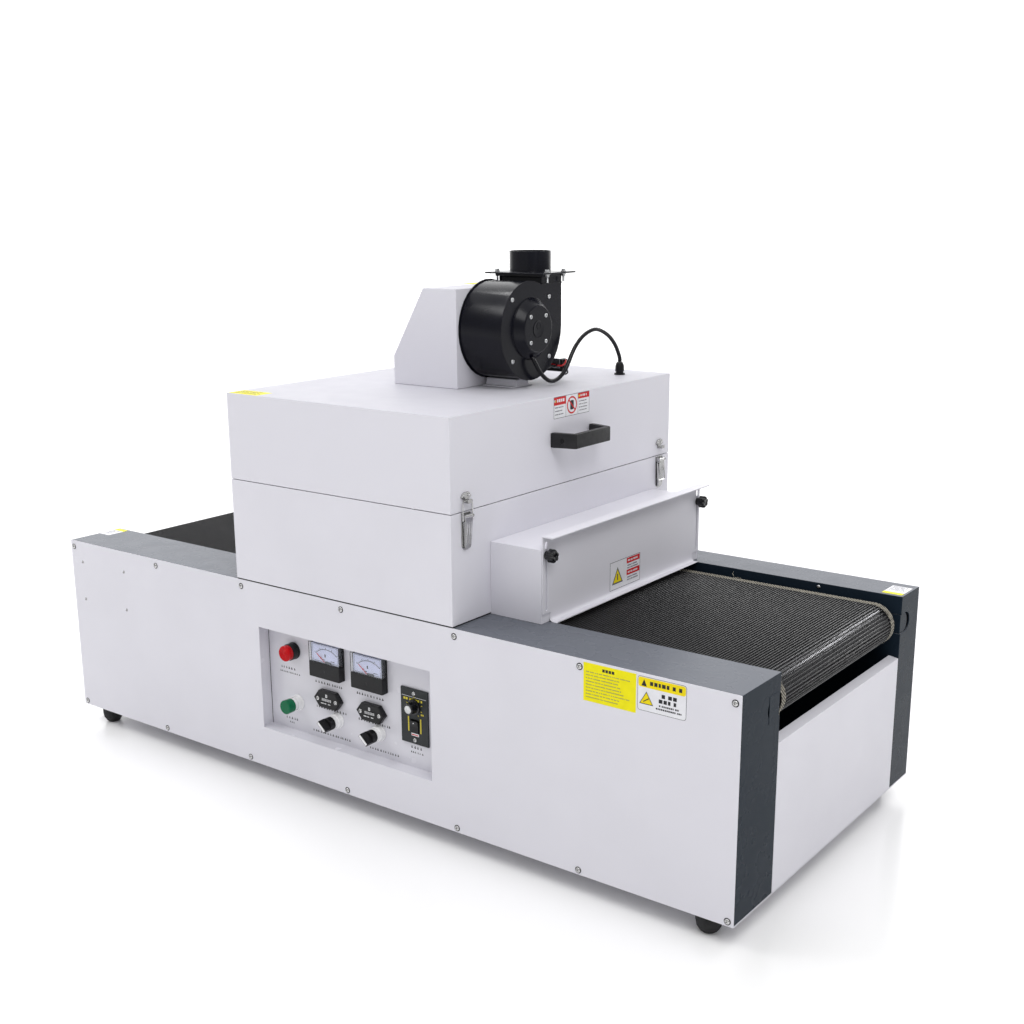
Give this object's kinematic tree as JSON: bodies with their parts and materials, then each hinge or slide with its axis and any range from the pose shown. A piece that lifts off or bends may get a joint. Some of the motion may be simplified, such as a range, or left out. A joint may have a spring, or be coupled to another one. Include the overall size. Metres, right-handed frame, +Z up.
{
  "type": "conveyor oven",
  "caption": "Benchtop tunnel oven: a belt carries work through a hinged lamp box with sliding gates, a top extraction fan and a recessed control panel.",
  "frame": {"origin": "on the floor, under the middle of the bounding box", "axes": "+X along the belt towards the exit end, +Y away from the operator's side, +Z up"},
  "size_m": [1.32, 0.607, 0.838],
  "materials": {
    "white_paint": "fine textured powder coat",
    "blue_paint": "dark blue-grey powder coat",
    "black_paint": "gloss black enamel",
    "belt_mesh": "coated open-weave glass cloth",
    "bare_steel": "brushed",
    "roller_metal": "turned",
    "chrome": "bright",
    "black_plastic": "satin",
    "black_rubber": "matt",
    "red_lens": "clear red",
    "green_plastic": "gloss",
    "mirror_aluminium": "mirror",
    "lamp_glass": "clear quartz",
    "cable_jacket": "satin"
  },
  "bodies": {
    "base": {"front_panel": "white_paint", "rear_panel": "white_paint", "bottom_plate": "white_paint", "exit_end_panel": "white_paint", "entry_end_panel": "white_paint", "control_panel": "white_paint", "lower_housing": "white_paint", "exit_hood": "white_paint", "entry_hood": "white_paint", "near_rail": "blue_paint", "far_rail": "blue_paint", "belt_bed": "blue_paint", "drive_motor": "black_paint", "lamp_ballast": "black_paint", "conveyor_belt": "belt_mesh", "hinge_lower_leaf": "bare_steel", "ammeter_1": "black_plastic", "ammeter_2": "black_plastic", "hour_meter_1": "black_plastic", "hour_meter_2": "black_plastic", "speed_controller": "black_plastic", "mains_inlet": "black_plastic", "foot_1": "black_rubber", "foot_2": "black_rubber", "foot_3": "black_rubber", "foot_4": "black_rubber", "pilot_lamp": "red_lens"},
    "lid": {"lid": "white_paint", "lamp_reflector": "mirror_aluminium", "lamp_1": "lamp_glass", "lamp_2": "lamp_glass", "lid_handle": "black_plastic", "latch_keeper_1": "chrome", "latch_keeper_2": "chrome", "hinge_upper_leaf": "bare_steel", "fan_duct": "white_paint", "blower_scroll": "black_paint", "fan_motor": "black_paint", "outlet_spigot": "black_paint", "cable_gland": "black_plastic", "fan_lead": "cable_jacket"},
    "exit_gate": {"exit_gate": "white_paint"},
    "entry_gate": {"entry_gate": "white_paint"},
    "exit_knob_near": {"exit_knob_near": "black_plastic"},
    "exit_knob_far": {"exit_knob_far": "black_plastic"},
    "entry_knob_near": {"entry_knob_near": "black_plastic"},
    "entry_knob_far": {"entry_knob_far": "black_plastic"},
    "drive_roller": {"drive_roller": "roller_metal"},
    "idle_roller": {"idle_roller": "roller_metal"},
    "motor_sprocket": {"motor_sprocket": "bare_steel"},
    "impeller": {"impeller": "roller_metal"},
    "start_button": {"start_button": "green_plastic"},
    "lamp_selector_1": {"lamp_selector_1": "black_plastic"},
    "lamp_selector_2": {"lamp_selector_2": "black_plastic"},
    "speed_knob": {"speed_knob": "black_plastic"},
    "speed_rocker": {"speed_rocker": "black_plastic"},
    "latch_lever_1": {"latch_lever_1": "chrome"},
    "latch_lever_2": {"latch_lever_2": "chrome"},
    "latch_loop_1": {"latch_loop_1": "chrome"},
    "latch_loop_2": {"latch_loop_2": "chrome"}
  },
  "joints": [
    {"name": "lid_hinge", "type": "hinge", "parent": "base", "child": "lid", "pos_m": [-0.2305, 0, 0.499], "axis": [0, -1, 0], "range_deg": [0, 60]},
    {"name": "exit_gate_slide", "type": "slide", "parent": "base", "child": "exit_gate", "axis": [0, 0, 1], "range_m": [-0.01, 0.075]},
    {"name": "entry_gate_slide", "type": "slide", "parent": "base", "child": "entry_gate", "axis": [0, 0, 1], "range_m": [-0.01, 0.075]},
    {"name": "exit_knob_near_turn", "type": "hinge", "parent": "base", "child": "exit_knob_near", "pos_m": [0.3046, -0.194, 0.437], "axis": [1, 0, 0], "range_deg": [0, 360]},
    {"name": "exit_knob_far_turn", "type": "hinge", "parent": "base", "child": "exit_knob_far", "pos_m": [0.3046, 0.23, 0.437], "axis": [1, 0, 0], "range_deg": [0, 360]},
    {"name": "entry_knob_near_turn", "type": "hinge", "parent": "base", "child": "entry_knob_near", "pos_m": [-0.2996, -0.194, 0.437], "axis": [-1, 0, 0], "range_deg": [0, 360]},
    {"name": "entry_knob_far_turn", "type": "hinge", "parent": "base", "child": "entry_knob_far", "pos_m": [-0.2996, 0.23, 0.437], "axis": [-1, 0, 0], "range_deg": [0, 360]},
    {"name": "drive_roller_spin", "type": "hinge", "parent": "base", "child": "drive_roller", "pos_m": [-0.624, 0.018, 0.295], "axis": [0, 1, 0], "continuous": true},
    {"name": "idle_roller_spin", "type": "hinge", "parent": "base", "child": "idle_roller", "pos_m": [0.624, 0.018, 0.295], "axis": [0, 1, 0], "continuous": true},
    {"name": "motor_sprocket_spin", "type": "hinge", "parent": "base", "child": "motor_sprocket", "pos_m": [-0.5725, -0.211, 0.2675], "axis": [0, 1, 0], "continuous": true},
    {"name": "impeller_spin", "type": "hinge", "parent": "lid", "child": "impeller", "pos_m": [0.09, 0.015, 0.723], "axis": [1, 0, 0], "continuous": true},
    {"name": "start_button_press", "type": "slide", "parent": "base", "child": "start_button", "axis": [0, 1, 0], "range_m": [0, 0.003], "stiffness_N_per_m": 250, "springref_m": -0.002},
    {"name": "lamp_selector_1_turn", "type": "hinge", "parent": "base", "child": "lamp_selector_1", "pos_m": [-0.038, -0.2825, 0.1355], "axis": [0, 1, 0], "range_deg": [0, 90]},
    {"name": "lamp_selector_2_turn", "type": "hinge", "parent": "base", "child": "lamp_selector_2", "pos_m": [0.049, -0.2825, 0.1355], "axis": [0, 1, 0], "range_deg": [0, 90]},
    {"name": "speed_knob_turn", "type": "hinge", "parent": "base", "child": "speed_knob", "pos_m": [0.1225, -0.2695, 0.195], "axis": [0, 1, 0], "range_deg": [-150, 150]},
    {"name": "speed_rocker_tip", "type": "hinge", "parent": "base", "child": "speed_rocker", "pos_m": [0.1225, -0.2655, 0.164], "axis": [-1, 0, 0], "range_deg": [0, 12]},
    {"name": "latch_lever_1_swing", "type": "hinge", "parent": "base", "child": "latch_lever_1", "pos_m": [0.2208, -0.258, 0.493], "axis": [0, -1, 0], "range_deg": [0, 110]},
    {"name": "latch_lever_2_swing", "type": "hinge", "parent": "base", "child": "latch_lever_2", "pos_m": [0.2208, 0.258, 0.493], "axis": [0, -1, 0], "range_deg": [0, 110]},
    {"name": "latch_loop_1_swing", "type": "hinge", "parent": "latch_lever_1", "child": "latch_loop_1", "pos_m": [0.2192, -0.258, 0.4865], "axis": [0, -1, 0], "range_deg": [-92.4, 0]},
    {"name": "latch_loop_2_swing", "type": "hinge", "parent": "latch_lever_2", "child": "latch_loop_2", "pos_m": [0.2192, 0.258, 0.4865], "axis": [0, -1, 0], "range_deg": [0, 40]}
  ],
  "couplings": [
    {"joint": "idle_roller_spin", "follows": "drive_roller_spin", "ratio": 1},
    {"joint": "motor_sprocket_spin", "follows": "drive_roller_spin", "ratio": 1.6},
    {"joint": "latch_loop_1_swing", "follows": "latch_lever_1_swing", "ratio": -0.84}
  ]
}
